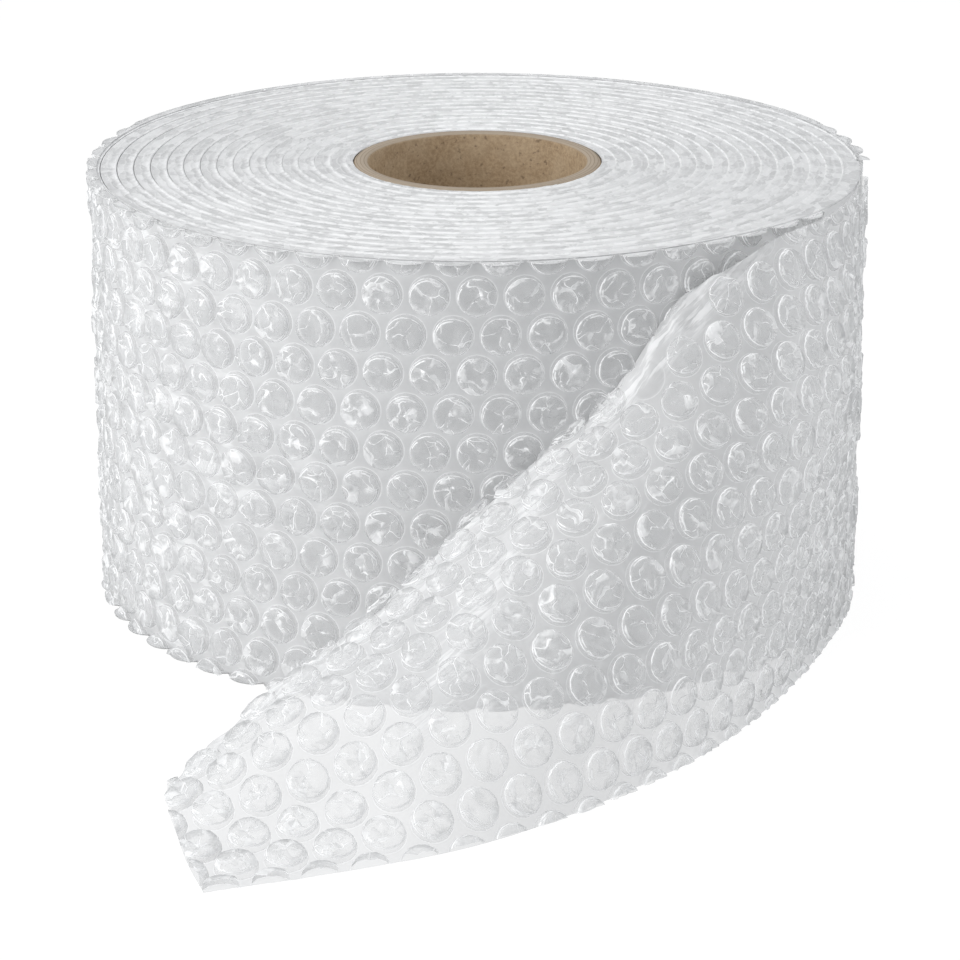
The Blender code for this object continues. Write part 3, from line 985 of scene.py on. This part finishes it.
def lay_bubbles(name, s0, s1):
    """Sets bubbles out from s0 to s1, presses them out of shape and winds them as one piece."""
    bm = bmesh.new()
    layer = bm.loops.layers.uv.new("bubble")
    count = 0
    dense = bm.verts.layers.float.new("dense")
    places = list(bubble_places(s0, s1))
    share = slump([s for s, w in places], [w for s, w in places])
    for (s, w), slumped in zip(places, share):
        if folded_away(max(s, 0.0), w):
            continue
        crush = float(crushed(max(s, 0.0), w))
        lift = raised(s)
        at_edge = s1 > 0 and (w < 8 or s > TAIL - 9)
        whiteness = 0.5 if at_edge else slumped * (0.8 if s > 0 else 0.25)
        squash = (1 - 0.5 * crush) * (1 - slumped * RANDOM.uniform(0.05, 0.45))
        if abs(s) < 20 and w > HEIGHT - 12:
            squash *= 0.45
        old, old_faces = len(bm.verts), len(bm.faces)
        bm.from_mesh(RANDOM.choice(BUBBLES))
        bm.verts.ensure_lookup_table()
        bm.faces.ensure_lookup_table()
        turn = Matrix.Rotation(RANDOM.randrange(SIDES) * 2 * math.pi / SIDES, 4, "Z")
        bmesh.ops.transform(bm, verts=bm.verts[old:], matrix=turn)
        for v in bm.verts[old:]:
            place = Vector((s + v.co.x, w + v.co.y, 0))
            pull = mnoise.noise_vector(place * 0.35) * crush * 1.3
            pull += mnoise.noise_vector(place * 0.16) * slumped * 0.9
            v.co.z = BACK + (v.co.z - BACK) * squash
            v.co += Vector((s, w, 0)) + Vector((pull.x, pull.y, 0.3 * pull.z)) * (v.co.z - BACK)
            v.co.z = min(v.co.z, TIP) + lift
            v[dense] = whiteness
        shift = Vector((4 * RANDOM.randrange(20), 4 * RANDOM.randrange(20)))
        for f in bm.faces[old_faces:]:
            for loop in f.loops:
                loop[layer].uv += shift
        count += 1
    bottom, top, end = ((0, 0, 0), (0, -1, 0)), ((0, HEIGHT, 0), (0, 1, 0)), ((TAIL, 0, 0), (1, 0, 0))
    for place, outwards in (bottom, top, end):
        bmesh.ops.bisect_plane(bm, geom=bm.verts[:] + bm.edges[:] + bm.faces[:], plane_co=place,
                               plane_no=outwards, clear_outer=True)
    print(name, count, "bubbles")
    piece = finish_piece(name, bm, SKIN, shade_smooth=False)
    # Skin this thin and clear throws next to no shadow and takes next to no light from the web.
    piece.visible_shadow = piece.visible_diffuse = piece.visible_glossy = False


lay_bubbles("outer_turn_bubbles", LAST_TURN + 70, -BUBBLE / 4)
lay_bubbles("free_end_bubbles", -BUBBLE / 4, TAIL + 4)

# %% [markdown]
# ## The ends of the roll
#
# Seen from above, each turn is a pair of film edges: the straight line of the flat back and the
# crinkled line of the bubbled front. The strip below is as wide as one turn, with a rib for
# each line and a groove where it meets the next turn, and it is wound like the rest.

# %% Lines of the end faces
INNER = -wound_length((ROLL_R - CORE_R + 2.5) / PITCH)

# The nine lines of the strip, from the flat back to the next turn: how deep each lies under the
# end of the roll, how bright the painted highlight on its film edge is, and which are uneven.
DEPTHS = (0.55, 0.1, 0.5, 0.6, 0.55, 0.35, 0.55, 0.55, 0.55)
RIB_HIGHLIGHTS = (0.9, 1.0, 0.8, 0, 0, 0.5, 0, 0, 0.9)
UNEVEN = (1, 3, 5)
LAST = len(DEPTHS) - 1


def bulge(s):
    """How far the slit bubbles stand off the web at s, as a part of their height."""
    x = ((s - FIRST_BUBBLE) / BUBBLE) % 1 - 0.5
    return math.sqrt(max(1 - (x * BUBBLE / (BUBBLE_R - 0.25)) ** 2, 0.0))


def front_line(s):
    """Where the crinkled line runs, off the half-way surface, in millimetres."""
    jitter = mnoise.noise(Vector((s * 0.3, 0, 0))) + 0.5 * mnoise.noise(Vector((s * 0.9, 5, 0)))
    return -0.1 + 0.8 * bulge(s) + 0.5 * jitter


def line_places(s):
    """Where the nine lines run, off the half-way surface."""
    front = front_line(s)
    drift = 0.3 * mnoise.noise(Vector((s * 0.05, 0, 70))) + 0.15 * mnoise.noise(Vector((s * 0.4, 0, 80)))
    return (-2.8, -2.5 + drift, -2.15 + drift, (front - 2.0) / 2, front - 0.45, front,
            front + 0.45, 2.4, 2.8)


def outer_limit(s):
    """How far out the last turn reaches: to its film, or to its bubbles where it has them."""
    angle = (ROLL_R - radius_at(s)) * 2 * math.pi / PITCH
    behind = float(smooth(0.15, 0.5, math.sin(angle)))
    has_bubbles = float(smooth(LAST_TURN + 66, LAST_TURN + 76, s))
    return -1.65 + 3.75 * max(bulge(s), behind) * has_bubbles + raised(s)


# %% End faces
def end_face(name, edge, inward):
    """The film edges of all turns on one end of the roll, wound from one strip."""
    bm = strip(INNER, -0.5, 0, LAST, 1.9, 1)
    rib_highlight = bm.verts.layers.float.new("rib_highlight")
    for v in bm.verts:
        s, line = v.co.x, int(round(v.co.y))
        across, depth, brightness = line_places(s)[line], DEPTHS[line], RIB_HIGHLIGHTS[line]
        if line in UNEVEN:
            depth += 0.2 * mnoise.noise(Vector((s * 0.5, line * 3.1, 1)))
        if s > LAST_TURN and line > 1:
            limit = outer_limit(s) - 0.06 * (LAST - line)
            if line > 4 or across > limit:
                across = limit
            depth = {LAST: 0.6, LAST - 1: 0.12}.get(line, 0.4)
            brightness = 0.8 if line == LAST - 1 else 0.0
        # Brightness of the painted highlight on this film edge.
        v[rib_highlight] = brightness
        across = max(across, CORE_R + 0.15 + 0.01 * line - radius_at(s))
        v.co = Vector((s, edge + inward * max(depth, 0), across))
    layer = bm.loops.layers.uv.new("web")
    for f in bm.faces:
        for loop in f.loops:
            loop[layer].uv = (loop.vert.co.x / 9.5, loop.vert.co.z / PITCH)
    if inward < 0:
        bmesh.ops.reverse_faces(bm, faces=bm.faces)
    piece = finish_piece(name, bm, EDGES)


end_face("top_end_of_roll", HEIGHT, -1)
end_face("bottom_end_of_roll", 0, 1)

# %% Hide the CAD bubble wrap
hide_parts("bubble_wrap")
